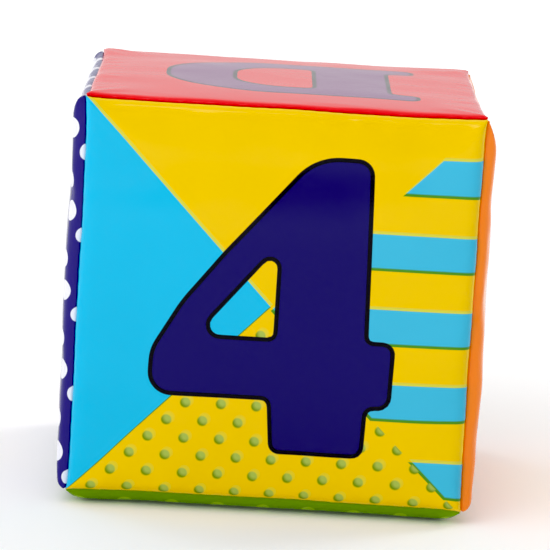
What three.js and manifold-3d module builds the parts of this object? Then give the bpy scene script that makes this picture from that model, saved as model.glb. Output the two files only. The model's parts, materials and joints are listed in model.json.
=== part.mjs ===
// A soft toy block: a foam cube in a sewn skin of six printed vinyl panels.
// Millimetres, +Z up. The origin is on the ground, under the middle of the block.
// The number panel faces -Y. Every panel is crowned, and its edges turn in along
// the twelve seams, where a thread holds each pair of allowances together.
import * as THREE from "three";
import { mergeVertices } from "three/addons/utils/BufferGeometryUtils.js";
import Module from "manifold-3d";

// ---- driving dimensions -------------------------------------------------
const SEAM_EDGE = 75; // from one seam to the opposite one, along an edge
const CROWN = 3; // how far a panel stands proud of its seams
const TOP_CROWN = 1.5; // the same for the top panel, which lies flatter
const SKIN = 0.5; // thickness of the vinyl
const ALLOWANCE = 6; // width of the strip turned in at a seam
const FOLD_GAP = 0.3; // between two panels at the fold of a seam
const SEAM_GAP = 0.9; // between the two turned-in strips below it, where the thread lies
const FOLD_DEPTH = 1; // from the fold to where the strips run parallel
const CLEAR = 0.3; // between the skin and the foam
const THREAD = 0.4; // diameter of the sewing thread
const THREAD_DEPTH = 1.6; // of the thread under the seam, along the bisector
const THREAD_END = 0.7; // between the end of a thread and the thread that crosses it
const KNOT = 0.62; // diameter of the knot that ends the closing stitch
// The rounded edge of a panel: distance in from the seam, height above the seam,
// and the radius of the panel's outline there.
const ROLL = [
  [10, 1, 9],
  [6.5, 0.977, 6.6],
  [4.2, 0.907, 4.8],
  [2.6, 0.767, 3.3],
  [1.4, 0.55, 2.2],
  [0.55, 0.283, 1.3],
  [0, 0, 0.8],
];
const CORNER_STEPS = 4; // facets round each corner of an outline
const SIDE_STEPS = 3; // divisions of each straight side

const H = SEAM_EDGE / 2;
const HEIGHT = SEAM_EDGE + 2 * CROWN;
const SQ2 = Math.SQRT2;

const wasm = await Module();
wasm.setup();

// ---- helpers ------------------------------------------------------------

// A square outline with rounded corners, at height z, counter-clockwise from above.
function outline(half, radius, z, cornerSteps = CORNER_STEPS) {
  const points = [];
  for (let q = 0; q < 4; q++) {
    const turn = (q * Math.PI) / 2,
      c = Math.cos(turn),
      s = Math.sin(turn),
      put = (x, y) =>
        points.push(new THREE.Vector3(x * c - y * s, x * s + y * c, z));
    // the side at +x, from its lower end up, then the corner after it
    const low = -(half - radius),
      high = half - radius;
    for (let i = 1; i < SIDE_STEPS; i++)
      put(half, low + ((high - low) * i) / SIDE_STEPS);
    for (let i = 0; i <= cornerSteps; i++) {
      const a = ((Math.PI / 2) * i) / cornerSteps;
      put(high + radius * Math.cos(a), high + radius * Math.sin(a));
    }
  }
  return points;
}

// A closed solid through a list of outlines, with a flat cap on the first and last.
// The outlines run from the top of the solid's outside, down and back inside.
function loft(rings) {
  const n = rings[0].length,
    position = [],
    index = [];
  for (const ring of rings) for (const p of ring) position.push(p.x, p.y, p.z);
  for (let r = 0; r + 1 < rings.length; r++)
    for (let i = 0; i < n; i++) {
      const j = (i + 1) % n,
        a = r * n + i,
        b = r * n + j,
        c = (r + 1) * n + i,
        d = (r + 1) * n + j;
      index.push(a, c, b, b, c, d);
    }
  const flat = rings[0].map((p) => new THREE.Vector2(p.x, p.y));
  for (const [a, b, c] of THREE.ShapeUtils.triangulateShape(flat, []))
    index.push(a, b, c);
  const last = (rings.length - 1) * n;
  const flatEnd = rings[rings.length - 1].map(
    (p) => new THREE.Vector2(p.x, p.y),
  );
  for (const [a, b, c] of THREE.ShapeUtils.triangulateShape(flatEnd, []))
    index.push(last + a, last + c, last + b);
  const g = new THREE.BufferGeometry();
  g.setAttribute("position", new THREE.Float32BufferAttribute(position, 3));
  g.setIndex(index);
  return g;
}

// The section of a panel, as [distance from the middle, height above the block's centre,
// outline radius], from the edge of its flat middle out to the seam and in along the strip.
function section(crown) {
  const line = ROLL.map(([d, h, r]) => [
    H - FOLD_GAP / SQ2 - d,
    H + h * crown,
    r,
  ]);
  const r = line[line.length - 1][2];
  // u is the depth under the seam along the bisector, v the distance off it
  for (const u of [FOLD_DEPTH, ALLOWANCE / 2, ALLOWANCE]) {
    const v = SEAM_GAP / 2;
    line.push([H - (u + v) / SQ2, H - (u - v) / SQ2, r]);
  }
  return line;
}

// The same section moved inwards by t: each corner goes to where the two moved sides meet.
function inset(line, t) {
  const normals = [];
  for (let i = 0; i + 1 < line.length; i++) {
    const dx = line[i + 1][0] - line[i][0],
      dz = line[i + 1][1] - line[i][1],
      l = Math.hypot(dx, dz);
    normals.push([dz / l, -dx / l]);
  }
  return line.map(([s, z, r], i) => {
    const a = i === 0 ? [0, -1] : normals[i - 1],
      b = normals[Math.min(i, normals.length - 1)],
      k = 1 + a[0] * b[0] + a[1] * b[1];
    const ds = (t * (a[0] + b[0])) / k,
      dz = (t * (a[1] + b[1])) / k;
    return [s + ds, z + dz, Math.max(0.3, r + Math.min(0, ds))];
  });
}

// A panel of the skin, lying over the top of the block: the crowned face, the fold at the
// seam, and the strip turned in along the bisector plane.
function panelGeometry(crown) {
  const outer = section(crown),
    inner = inset(outer, SKIN);
  return loft(
    [...outer, ...inner.reverse()].map(([s, z, r]) => outline(s, r, z)),
  );
}

const solid = (geometry) => {
  const g = geometry.index ? geometry.toNonIndexed() : geometry.clone();
  g.deleteAttribute("normal");
  g.deleteAttribute("uv");
  const m = mergeVertices(g, 1e-4);
  return new wasm.Manifold(
    new wasm.Mesh({
      numProp: 3,
      vertProperties: m.attributes.position.array,
      triVerts: new Uint32Array(m.index.array),
    }),
  );
};

const geometryOf = (made) => {
  const m = made.getMesh(),
    n = m.numProp,
    v = new Float32Array(m.numVert * 3);
  for (let i = 0; i < m.numVert; i++)
    v.set(m.vertProperties.subarray(i * n, i * n + 3), i * 3);
  const g = new THREE.BufferGeometry();
  g.setAttribute("position", new THREE.BufferAttribute(v, 3));
  g.setIndex(new THREE.BufferAttribute(new Uint32Array(m.triVerts), 1));
  g.computeVertexNormals();
  return g;
};

// The six ways a panel faces, as rotations of the top panel.
const FACING = {
  top: new THREE.Euler(0, 0, 0),
  bottom: new THREE.Euler(Math.PI, 0, 0),
  front: new THREE.Euler(Math.PI / 2, 0, 0),
  back: new THREE.Euler(-Math.PI / 2, 0, 0),
  right: new THREE.Euler(0, Math.PI / 2, 0),
  left: new THREE.Euler(0, -Math.PI / 2, 0),
};

// The foam: a cube that fills the skin under its crowns and rolled edges, with a groove
// along each of its twelve edges where the turned-in strips go.
function foamGeometry() {
  const under = (crown) =>
    inset(section(crown), SKIN + CLEAR).slice(0, ROLL.length - 1);
  const full = under(CROWN),
    [s0, z0] = full[full.length - 2],
    [s1, z1] = full[full.length - 1];
  // the last slope runs on until it meets that of the next face, on the bisector
  const k = (z1 - s1) / (s1 - s0 - (z1 - z0)),
    edge = s1 + k * (s1 - s0);
  let body = null;
  for (const [side, e] of Object.entries(FACING)) {
    const cover = side === "top" ? under(TOP_CROWN) : full;
    const rings = cover.map(([s, z, r]) => outline(s, r, z, 2));
    rings.push(outline(edge, 0.02, edge, 2));
    rings.push(outline(edge - 12, 0.02, edge - 12, 2));
    const piece = solid(
      loft(rings).applyMatrix4(new THREE.Matrix4().makeRotationFromEuler(e)),
    );
    body = body ? body.add(piece) : piece;
  }
  const inside = edge - 11;
  body = body.add(
    solid(new THREE.BoxGeometry(2 * inside, 2 * inside, 2 * inside)),
  );
  const width = SEAM_GAP + 2 * (SKIN + CLEAR),
    deep = ALLOWANCE + CLEAR,
    reach = 8;
  const slot = new THREE.BoxGeometry(SEAM_EDGE + 8, deep + reach, width);
  for (const spin of [0, 1, 2])
    for (const quarter of [0, 1, 2, 3]) {
      const g = slot.clone();
      g.translate(0, H * SQ2 + (reach - deep) / 2, 0);
      g.rotateX(Math.PI / 4 + (quarter * Math.PI) / 2);
      if (spin === 1) g.rotateZ(Math.PI / 2);
      if (spin === 2) g.rotateY(Math.PI / 2);
      body = body.subtract(solid(g));
    }
  return geometryOf(body);
}

// ---- threads ------------------------------------------------------------
const Q = H - THREAD_DEPTH / SQ2; // the thread's distance from the centre, both ways

function straightThread(length) {
  return new THREE.CylinderGeometry(THREAD / 2, THREAD / 2, length, 8, 1);
}

// A thread laid flat round corners: an extruded outline whose edges are cut at 45 degrees.
function flatThread(shape) {
  const bevel = THREAD * 0.29;
  const g = new THREE.ExtrudeGeometry(shape, {
    depth: THREAD - 2 * bevel,
    bevelEnabled: true,
    bevelThickness: bevel,
    bevelSize: bevel,
    bevelOffset: -bevel,
    bevelSegments: 1,
    curveSegments: 2,
  });
  g.translate(0, 0, -(THREAD - 2 * bevel) / 2);
  return g;
}

function rectangle(path, half) {
  path.moveTo(-half, -half);
  path.lineTo(half, -half);
  path.lineTo(half, half);
  path.lineTo(-half, half);
  path.closePath();
  return path;
}

function loopThread() {
  const shape = rectangle(new THREE.Shape(), Q + THREAD / 2);
  shape.holes.push(rectangle(new THREE.Path(), Q - THREAD / 2));
  return flatThread(shape);
}

// Round the left, front and right of the bottom panel.
function threeSidedThread() {
  const a = Q + THREAD / 2,
    b = Q - THREAD / 2,
    shape = new THREE.Shape();
  shape.moveTo(-a, a);
  shape.lineTo(-a, -a);
  shape.lineTo(a, -a);
  shape.lineTo(a, a);
  shape.lineTo(b, a);
  shape.lineTo(b, -b);
  shape.lineTo(-b, -b);
  shape.lineTo(-b, a);
  shape.closePath();
  return flatThread(shape);
}

function closingStitch() {
  const length = 2 * (Q - THREAD_END);
  const thread = straightThread(length).rotateZ(Math.PI / 2);
  const knot = new THREE.SphereGeometry(KNOT / 2, 10, 6).translate(
    length / 2 - 3,
    0,
    0,
  );
  return geometryOf(solid(thread).add(solid(knot)));
}

// ---- the object ---------------------------------------------------------
const vinyl = (color) =>
  new THREE.MeshStandardMaterial({ color, roughness: 0.22, metalness: 0 });
const MATERIAL = {
  front_panel: vinyl(0xf0cd00),
  top_panel: vinyl(0xf8202c),
  right_panel: vinyl(0xff8030),
  left_panel: vinyl(0x2a2078),
  bottom_panel: vinyl(0x6f9e0c),
  back_panel: vinyl(0x7aa80e),
  foam: new THREE.MeshStandardMaterial({
    color: 0xf2efe4,
    roughness: 0.95,
    metalness: 0,
  }),
  thread: new THREE.MeshStandardMaterial({
    color: 0xece8dc,
    roughness: 0.7,
    metalness: 0,
  }),
};

const block = new THREE.Group();
block.position.z = HEIGHT / 2;

function add(name, geometry, material, place = [0, 0, 0], rotation) {
  const mesh = new THREE.Mesh(geometry, material);
  mesh.name = name;
  mesh.position.set(...place);
  if (rotation) mesh.rotation.copy(rotation);
  block.add(mesh);
  return mesh;
}

add("foam_core", foamGeometry(), MATERIAL.foam);

const panel = panelGeometry(CROWN),
  topPanel = panelGeometry(TOP_CROWN);
for (const side of ["front", "back", "left", "right", "top", "bottom"]) {
  const name = side + "_panel";
  const geometry = side === "top" ? topPanel : panel;
  add(name, geometry, MATERIAL[name], [0, 0, 0], FACING[side]);
}

const upright = new THREE.Euler(Math.PI / 2, 0, 0);
for (const [name, x, y] of [
  ["seam_thread_front_left", -Q, -Q],
  ["seam_thread_front_right", Q, -Q],
  ["seam_thread_back_left", -Q, Q],
  ["seam_thread_back_right", Q, Q],
])
  add(
    name,
    straightThread(2 * (Q - THREAD_END)),
    MATERIAL.thread,
    [x, y, 0],
    upright,
  );
add("top_seam_thread", loopThread(), MATERIAL.thread, [0, 0, Q]);
add("bottom_seam_thread", threeSidedThread(), MATERIAL.thread, [0, 0, -Q]);
add("closing_stitch", closingStitch(), MATERIAL.thread, [0, Q, -Q]);

const root = new THREE.Group();
root.add(block);
export default root;
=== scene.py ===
"""Looks of the soft toy block: a sewn vinyl cover, relaxed over its foam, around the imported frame. Lengths in the shape code are millimetres, centred on the block."""
import json
import math

import bmesh
import bpy
import numpy as np
from mathutils import Matrix, Vector

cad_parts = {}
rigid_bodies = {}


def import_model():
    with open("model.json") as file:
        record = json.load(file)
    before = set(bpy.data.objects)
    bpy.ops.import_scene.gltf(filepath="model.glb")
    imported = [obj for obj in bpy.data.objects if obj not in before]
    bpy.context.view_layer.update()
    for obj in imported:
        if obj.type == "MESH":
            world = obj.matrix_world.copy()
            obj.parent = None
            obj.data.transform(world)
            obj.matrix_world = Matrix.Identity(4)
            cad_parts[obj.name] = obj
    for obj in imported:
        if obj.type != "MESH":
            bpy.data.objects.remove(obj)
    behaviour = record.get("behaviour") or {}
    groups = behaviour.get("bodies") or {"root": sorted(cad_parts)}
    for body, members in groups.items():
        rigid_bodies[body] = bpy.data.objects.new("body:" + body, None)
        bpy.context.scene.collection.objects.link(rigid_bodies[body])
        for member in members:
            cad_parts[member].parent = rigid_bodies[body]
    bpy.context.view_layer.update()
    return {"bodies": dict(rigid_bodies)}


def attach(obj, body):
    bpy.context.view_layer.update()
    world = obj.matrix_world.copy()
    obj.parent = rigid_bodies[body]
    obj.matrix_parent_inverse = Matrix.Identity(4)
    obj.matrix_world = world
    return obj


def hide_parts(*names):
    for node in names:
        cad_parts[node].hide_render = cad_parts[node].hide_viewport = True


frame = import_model()
scene = bpy.context.scene
BODY = sorted(frame["bodies"])[0]

MM = 0.001
CENTRE_Z = 40.5  # the middle between the bottom and top seams, above the floor
TOP_LOW = 1.5  # how much less the top panel stands proud than the others do
SEAM = 77.0  # a panel's flat length from seam line to seam line
ALLOWANCE = 6.0  # turned in at each side
FLAT = SEAM + 2 * ALLOWANCE
SKIN = 0.45  # thickness of the vinyl
GAP = 0.07  # half the gap between two panels at the fold
STITCH = 3.0  # stitch length inside the seams

# name: (axis out of the panel, its sign, (axis to the right, sign), (axis up, sign)), as the panel is seen from outside
FACES = {
    "front": (1, -1, (0, 1), (2, 1)),
    "back": (1, 1, (0, -1), (2, 1)),
    "right": (0, 1, (1, 1), (2, 1)),
    "left": (0, -1, (1, -1), (2, 1)),
    "top": (2, 1, (0, 1), (1, 1)),
    "bottom": (2, -1, (0, 1), (1, -1)),
}


# ---------------------------------------------------------------- the cover, relaxed over the foam


class Lattice:
    """The threads of the whole cover: points on the surface of a cube, n steps along an edge, shared where panels are sewn together."""

    def __init__(self, n):
        self.n = n
        g = np.arange(n + 1)
        i, j, k = np.meshgrid(g, g, g, indexing="ij")
        on = (i == 0) | (i == n) | (j == 0) | (j == n) | (k == 0) | (k == n)
        self.ijk = np.stack([i[on], j[on], k[on]], 1)
        self.id = -np.ones((n + 1,) * 3, int)
        self.id[on] = np.arange(len(self.ijk))
        self.count = len(self.ijk)
        self.grid = {}
        for name, (ax, sg, (ua, us), (va, vs)) in FACES.items():
            a, b = np.meshgrid(g, g, indexing="ij")
            c = [None] * 3
            c[ax] = np.full_like(a, n if sg > 0 else 0)
            c[ua] = a if us > 0 else n - a
            c[va] = b if vs > 0 else n - b
            self.grid[name] = self.id[c[0], c[1], c[2]]
        self.on_faces = sum(((self.ijk[:, k] == 0) | (self.ijk[:, k] == n)).astype(int) for k in range(3))
        lines, self.shear, self.triples = {}, [], []
        for name, (ax, sg, (ua, us), (va, vs)) in FACES.items():
            q = self.grid[name]
            for a, b, d in ((q[:-1], q[1:], ua), (q[:, :-1], q[:, 1:], va)):
                low = np.minimum(self.ijk[a][..., d], self.ijk[b][..., d])
                for parity in (0, 1):
                    m = low % 2 == parity
                    lines.setdefault((d, parity), []).append(np.stack([a[m], b[m]], 1))
            for a, b in ((q[:-1, :-1], q[1:, 1:]), (q[1:, :-1], q[:-1, 1:])):
                for parity in (0, 1):
                    m = (np.arange(n)[:, None] % 2 == parity) & np.ones((1, n), bool)
                    self.shear.append(np.stack([a[m], b[m]], 1))
            for rows in (q, q.T):
                for start in range(3):
                    i = np.arange(1 + start, n, 3)
                    self.triples.append((rows[i - 1].ravel(), rows[i].ravel(), rows[i + 1].ravel()))
        self.lines = []
        for key in sorted(lines):
            e = np.concatenate(lines[key])
            e.sort(axis=1)
            self.lines.append(np.unique(e, axis=0))


def first_shape(lat, half, roll, crown):
    x = (lat.ijk / lat.n * 2 - 1) * half
    out = x.copy()
    for name, (ax, sg, (ua, _), (va, _)) in FACES.items():
        q = lat.grid[name][1:-1, 1:-1].ravel()
        d = half - np.maximum(abs(x[q][:, ua]), abs(x[q][:, va]))
        out[q, ax] = sg * (half + crown * (1 - np.clip(1 - d / roll, 0, 1) ** 2) ** 0.5)
    return out


def seam_lines(lat, middle=37.45, ear=0.5, power=9.0, wander=0.13):
    """Where the stitching holds the seams: almost straight, a little in at the middle and out at the corners, and not quite even."""
    n = lat.n
    t = lat.ijk / n * 2 - 1
    faced = (lat.ijk == 0) | (lat.ijk == n)
    free = np.where(faced, 0, np.abs(t)).max(1)
    free = np.where(lat.on_faces == 3, 1.0, free)
    along = np.where(faced, 0, t).sum(1)
    out = np.zeros((lat.count, 3))
    rng = np.random.RandomState(5)
    waves = rng.uniform(0, 2 * math.pi, (3, 2, 2, 3, 3))  # axis of the seam, its two sides, axis moved, wave
    lengths = (52.0, 27.0, 15.0)
    still = 1 - free**8
    for k in range(3):
        drift = np.zeros(lat.count)
        for axis in range(3):
            if axis == k:
                continue
            on = faced[:, k] & ~faced[:, axis] & (lat.on_faces == 2)
            other = 3 - k - axis
            phase = waves[axis, (lat.ijk[:, k] > 0).astype(int), (lat.ijk[:, other] > 0).astype(int), k]
            for w, length in enumerate(lengths):
                drift += on * np.sin(along * SEAM * math.pi / length + phase[:, w]) * (0.5, 0.35, 0.25)[w]
        place = np.sign(t[:, k]) * (middle + ear * free**power + wander * drift * still)
        out[:, k] = np.where(faced[:, k], place, t[:, k] * (middle + ear))
    return out


def relax(lat, x, steps, push=0.02, bend=0.2):
    """Pulls the cover's threads to their cut length over the foam, which pushes each panel out and holds it up, with the seams held by the stitching."""
    n, rest = lat.n, (SEAM - 0.2) / lat.n
    seam, held = lat.on_faces >= 2, seam_lines(lat)

    def cut(e):  # the flatter top panel is cut a little smaller
        top = (lat.ijk[e[:, 0], 2] == n) & (lat.ijk[e[:, 1], 2] == n)
        return np.where(top, rest - 0.85 / n, rest)

    sets = [(e[:, 0], e[:, 1], cut(e), 0.5) for e in lat.lines]
    sets += [(e[:, 0], e[:, 1], cut(e) * 2**0.5, 0.25) for e in lat.shear]
    on, sign, foam = np.zeros((lat.count, 3)), np.zeros((lat.count, 3)), np.zeros((lat.count, 3))
    for k in range(3):
        others = [j for j in range(3) if j != k]
        d = np.min([np.minimum(lat.ijk[:, j], n - lat.ijk[:, j]) for j in others], 0) * rest
        low, high = lat.ijk[:, k] == 0, lat.ijk[:, k] == n
        on[:, k] = low | high
        sign[:, k] = high.astype(float) - low.astype(float)
        foam[:, k] = CENTRE_Z + 0.05 - 0.45 * np.exp(-d / 5.0)
        if k == 2:
            foam[:, k] -= np.where(high, TOP_LOW, 0.0)
    for _ in range(steps):
        short = foam - x * sign
        x += sign * np.where(short > 0, short * push, short * 0.3) * on
        for a, b, c in lat.triples:
            d = (x[a] + x[c] - 2 * x[b]) * (bend / 6)
            x[b] += 2 * d
            x[a] -= d
            x[c] -= d
        for i, j, length, k in sets:
            d = x[j] - x[i]
            now = np.sqrt((d * d).sum(1)) + 1e-9
            d *= (k * (now - length) / now)[:, None]
            x[i] += d
            x[j] -= d
        x[seam] = held[seam]
        x[:, 2] = np.maximum(x[:, 2], -CENTRE_Z)
    return x


def doubled(p):
    out = np.zeros((2 * len(p) - 1,) + p.shape[1:])
    out[::2] = p
    e = np.concatenate([2 * p[:1] - p[1:2], p, 2 * p[-1:] - p[-2:-1]])
    out[1::2] = (-e[:-3] + 9 * e[1:-2] + 9 * e[2:-1] - e[3:]) / 16
    return out


def refined(lat, x, fine):
    out, hits = np.zeros((fine.count, 3)), np.zeros(fine.count)
    for name in FACES:
        p = doubled(doubled(x[lat.grid[name]]).transpose(1, 0, 2)).transpose(1, 0, 2)
        np.add.at(out, fine.grid[name].ravel(), p.reshape(-1, 3))
        np.add.at(hits, fine.grid[name].ravel(), 1)
    return out / hits[:, None]


def sewn_cover():
    lat, x = None, None
    plan = (((12, 300), (24, 300), (48, 400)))
    for n, steps in plan:
        new = Lattice(n)
        x = first_shape(new, 37.3, 8, 3) if x is None else refined(lat, x, new)
        x = relax(new, x, steps)
        lat = new
    return lat, x


# ---------------------------------------------------------------- panels


def spline(count, at):
    """Matrix that takes count evenly spaced samples on 0..1 to a cubic spline's values at the places `at`."""
    n = count - 1
    h = 1.0 / n
    a, r = np.zeros((count, count)), np.zeros((count, count))
    for i in range(1, n):
        a[i, i - 1 : i + 2] = (1, 4, 1)
        r[i, i - 1 : i + 2] = np.array((1, -2, 1)) * 6 / h**2
    a[0, :3] = (1, -2, 1)
    a[n, n - 2 :] = (1, -2, 1)
    m = np.linalg.solve(a, r)
    at = np.clip(np.asarray(at, float), 0, 1)
    k = np.minimum((at * n).astype(int), n - 1)
    t = at * n - k
    eye = np.eye(count)
    a_, b_ = (1 - t)[:, None], t[:, None]
    return a_ * eye[k] + b_ * eye[k + 1] + ((a_**3 - a_) * m[k] + (b_**3 - b_) * m[k + 1]) * h * h / 6


def graded(first, fine, step):
    """Distances from seam to seam, close together near the seams."""
    d = [first] + [first + f for f in fine]
    inner = np.linspace(d[-1], SEAM - d[-1], int(round((SEAM - 2 * d[-1]) / step)) + 1)
    half = np.array(d[:-1])
    return np.concatenate([half, inner, SEAM - half[::-1]])


def to_local(face, p):
    ax, sg, (ua, us), (va, vs) = FACES[face]
    return p[..., [ua, va, ax]] * np.array([us, vs, sg], float)


def to_block(face, p):
    ax, sg, (ua, us), (va, vs) = FACES[face]
    out = np.zeros(p.shape)
    out[..., ua], out[..., va], out[..., ax] = p[..., 0] * us, p[..., 1] * vs, p[..., 2] * sg
    return out


def loop_of(m):
    """Grid places round the border, counter-clockwise from (0, 0), without a repeat."""
    i = np.arange(m)
    z, e = np.zeros(m, int), np.full(m, m)
    return np.concatenate([i, e, m - i, z]), np.concatenate([z, i, e, m - i])


OUT = np.array([(0, -1), (1, 0), (0, 1), (-1, 0)], float)  # bottom, right, top and left sides of a panel


def arc(start, reach, tail, far=13.0):
    """How a panel comes out of a seam: it starts at an angle, bends down within the reach, and rises gently from there. Gives (distance over the skin, across, out)."""
    s = np.linspace(0, 45, 2251)
    angle = np.radians(start * np.exp(-((s / reach) ** 2)) + tail * np.exp(-s / far))
    angle = (angle[1:] + angle[:-1]) / 2
    steps = s[1:] - s[:-1]
    return s, np.append(0, np.cumsum(np.cos(angle) * steps)), np.append(0, np.cumsum(np.sin(angle) * steps))


# the bottom, right, top and left side of each panel; the bottom panel keeps the shape in which it carries the block
ROLLS = {
    "front": (arc(80, 2.1, 5.0), arc(80, 2.2, 6.0), arc(80, 1.55, 6.2), arc(80, 1.9, 5.2)),
    "right": (arc(78, 2.2, 5.0), arc(80, 2.3, 4.6), arc(22, 5.4, 5.6), arc(80, 2.45, 3.6)),
    "left": (arc(80, 2.0, 5.0), arc(80, 2.6, 3.8), arc(76, 1.9, 5.6), arc(80, 2.2, 4.6)),
    "back": (arc(80, 2.2, 4.8), arc(80, 1.9, 5.2), arc(70, 2.2, 5.4), arc(80, 2.4, 4.4)),
    "top": (arc(76, 0.85, 3.4), arc(70, 1.1, 3.2), arc(72, 1.0, 3.2), arc(72, 1.2, 3.0)),
}


class Panel:
    """One face of the cover: a fine grid, and rings that fold over at the seams and run in between the panels."""

    def __init__(self, face, lat, x, first, fine, step, profile, lift=None, seam_lift=None):
        d = graded(first, fine, step)
        self.face, self.d, self.m = face, d, len(d) - 1
        at = d / SEAM
        b = spline(lat.n + 1, at)
        q = to_local(face, x[lat.grid[face]])
        self.top = np.einsum("ai,bj,ijk->abk", b, b, q, optimize=True)
        flat = d - SEAM / 2
        self.flat = np.stack(np.meshgrid(flat, flat, indexing="ij"), -1)
        seams = [b @ q[:, 0], b @ q[-1], b @ q[:, -1], b @ q[0]]
        if face in ROLLS:
            self.roll(seams, ROLLS[face])
        self.mitre(seams)
        if lift is not None:
            self.top += normals_of(self.top) * lift(self.flat)[..., None]
        self.rings, self.ring_flat = [], []
        m = self.m
        li, lj = loop_of(m)
        s0 = self.top[li, lj]
        f0 = self.flat[li, lj]
        data = []
        for k in range(4):
            idx = np.arange(k * m, (k + 1) * m + 1) % (4 * m)
            o = OUT[k]
            p = seams[k] if k in (0, 1) else seams[k][::-1]
            o_p, w_p = p[:, :2] @ o, p[:, 2]
            here = s0[idx]
            du, dw = here[:, :2] @ o - o_p, here[:, 2] - w_p
            beta, nu = (dw - du) / 2**0.5, (dw + du) / 2**0.5
            # direction of the surface at the border, towards the seam
            inner = self.top[np.clip(li[idx] - (o[0] > 0) + (o[0] < 0), 0, m), np.clip(lj[idx] - (o[1] > 0) + (o[1] < 0), 0, m)]
            eu, ew = (here - inner)[:, :2] @ o, (here - inner)[:, 2]
            slope = (ew + eu) / (ew - eu + 1e-12)
            slope = np.clip(slope, -1.5, 0.9)
            # at a corner the fold takes the slope that it has beside it
            slope[:4], slope[-4:] = slope[4], slope[-5]
            beta[:2], beta[-2:], nu[:2], nu[-2:] = beta[2], beta[-3], nu[2], nu[-3]
            data.append((idx, o, o_p, w_p, beta, nu, slope, here))
        steps = len(profile(data[0][4], data[0][5], data[0][6]))
        prof = [profile(dd[4], dd[5], dd[6]) for dd in data]
        length = np.zeros(steps)
        mean = [(float(np.mean([dd[4].mean() for dd in data])), float(np.mean([dd[5].mean() for dd in data])))]
        for r in range(steps):
            mean.append(tuple(float(np.mean([np.mean(pr[r][c]) for pr in prof])) for c in (0, 1)))
            length[r] = math.dist(mean[-2], mean[-1]) + (length[r - 1] if r else 0)
        for r in range(steps):
            # each side's own height out of the panel and reach across the seam
            reach = [dd[2] + (pr[r][1] - pr[r][0]) / 2**0.5 for dd, pr in zip(data, prof)]
            high = [dd[3] + (pr[r][1] + pr[r][0]) / 2**0.5 for dd, pr in zip(data, prof)]
            pos = np.zeros((4 * m, 3))
            for k in range(4):
                idx, o = data[k][0], data[k][1]
                here = data[k][7]
                t = np.abs(o[::-1])  # in-plane axis along the side
                before, after = (k - 1) % 4, (k + 1) % 4
                c0 = OUT[before] * reach[before][-1]  # in-plane place of the corner at the side's start
                c1 = OUT[after] * reach[after][0]
                s0t, s1t = here[0, :2] @ t, here[-1, :2] @ t
                sh0, sh1 = c0 @ t - s0t, c1 @ t - s1t
                f = np.linspace(0, 1, m + 1)
                along_t = here[:, :2] @ t + sh0 * (1 - f) + sh1 * f
                xy = o[None] * reach[k][:, None] + t[None] * along_t[:, None]
                body = slice(1, m)
                pos[idx[body], :2] = xy[body]
                pos[idx[body], 2] = high[k][body]
                pos[idx[0], :2] += o * reach[k][0]
                pos[idx[0], 2] += high[k][0] / 2
                pos[idx[-1], :2] += o * reach[k][-1]
                pos[idx[-1], 2] += high[k][-1] / 2
            self.rings.append(pos)
            flat_r = f0.copy()
            for k in range(4):
                idx, o = data[k][0], data[k][1]
                flat_r[idx] += o * length[r]
            self.ring_flat.append(flat_r)

    def roll(self, seams, arcs):
        """Gives each side its roll, a little tighter here and wider there along the seam."""
        d, m, t = self.d, self.m, self.top
        far = SEAM - d
        along = (d - SEAM / 2) / (SEAM / 2)
        mid = slice(int(m * 0.36), int(m * 0.64) + 1)
        base = np.mean([line[:, 2] for line in seams])
        shift, scale = np.zeros(t.shape), np.ones(t.shape[:2])
        for k, (line, (s, across, out)) in enumerate(zip(seams, arcs)):
            axis = 1 if k in (0, 2) else 0
            off = far if k in (1, 2) else d
            sign = -1 if k in (1, 2) else 1
            phase = np.array([0.7, 2.9, 4.4]) + 1.7 * k + 0.9 * len(self.face)
            q = 1 + 0.03 * (np.sin(along * 5.3 + phase[0]) + 0.8 * np.sin(along * 9.1 + phase[1]) + 0.6 * np.sin(along * 15.7 + phase[2])) * (1 - along**8)
            where = off[:, None] / q[None]
            rolled = t[mid] if axis == 1 else t[:, mid].transpose(1, 0, 2)
            was_across = ((rolled[..., axis] - line[mid, axis][:, None]) * sign).mean(0)[:, None]
            was_out = (rolled[..., 2] - line[mid, 2][:, None]).mean(0)[:, None]
            a, r = np.interp(where, s, across) * q - was_across, np.interp(where, s, out) * q / was_out
            w = np.clip((27 - off) / 16, 0, 1)
            w = (w * w * (3 - 2 * w))[:, None]
            a, r = sign * a * w, 1 + (r - 1) * w
            shift[..., axis] += a.T if axis == 1 else a
            scale *= r.T if axis == 1 else r
        self.top = t + shift
        self.top[..., 2] = base + (t[..., 2] - base) * scale

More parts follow.
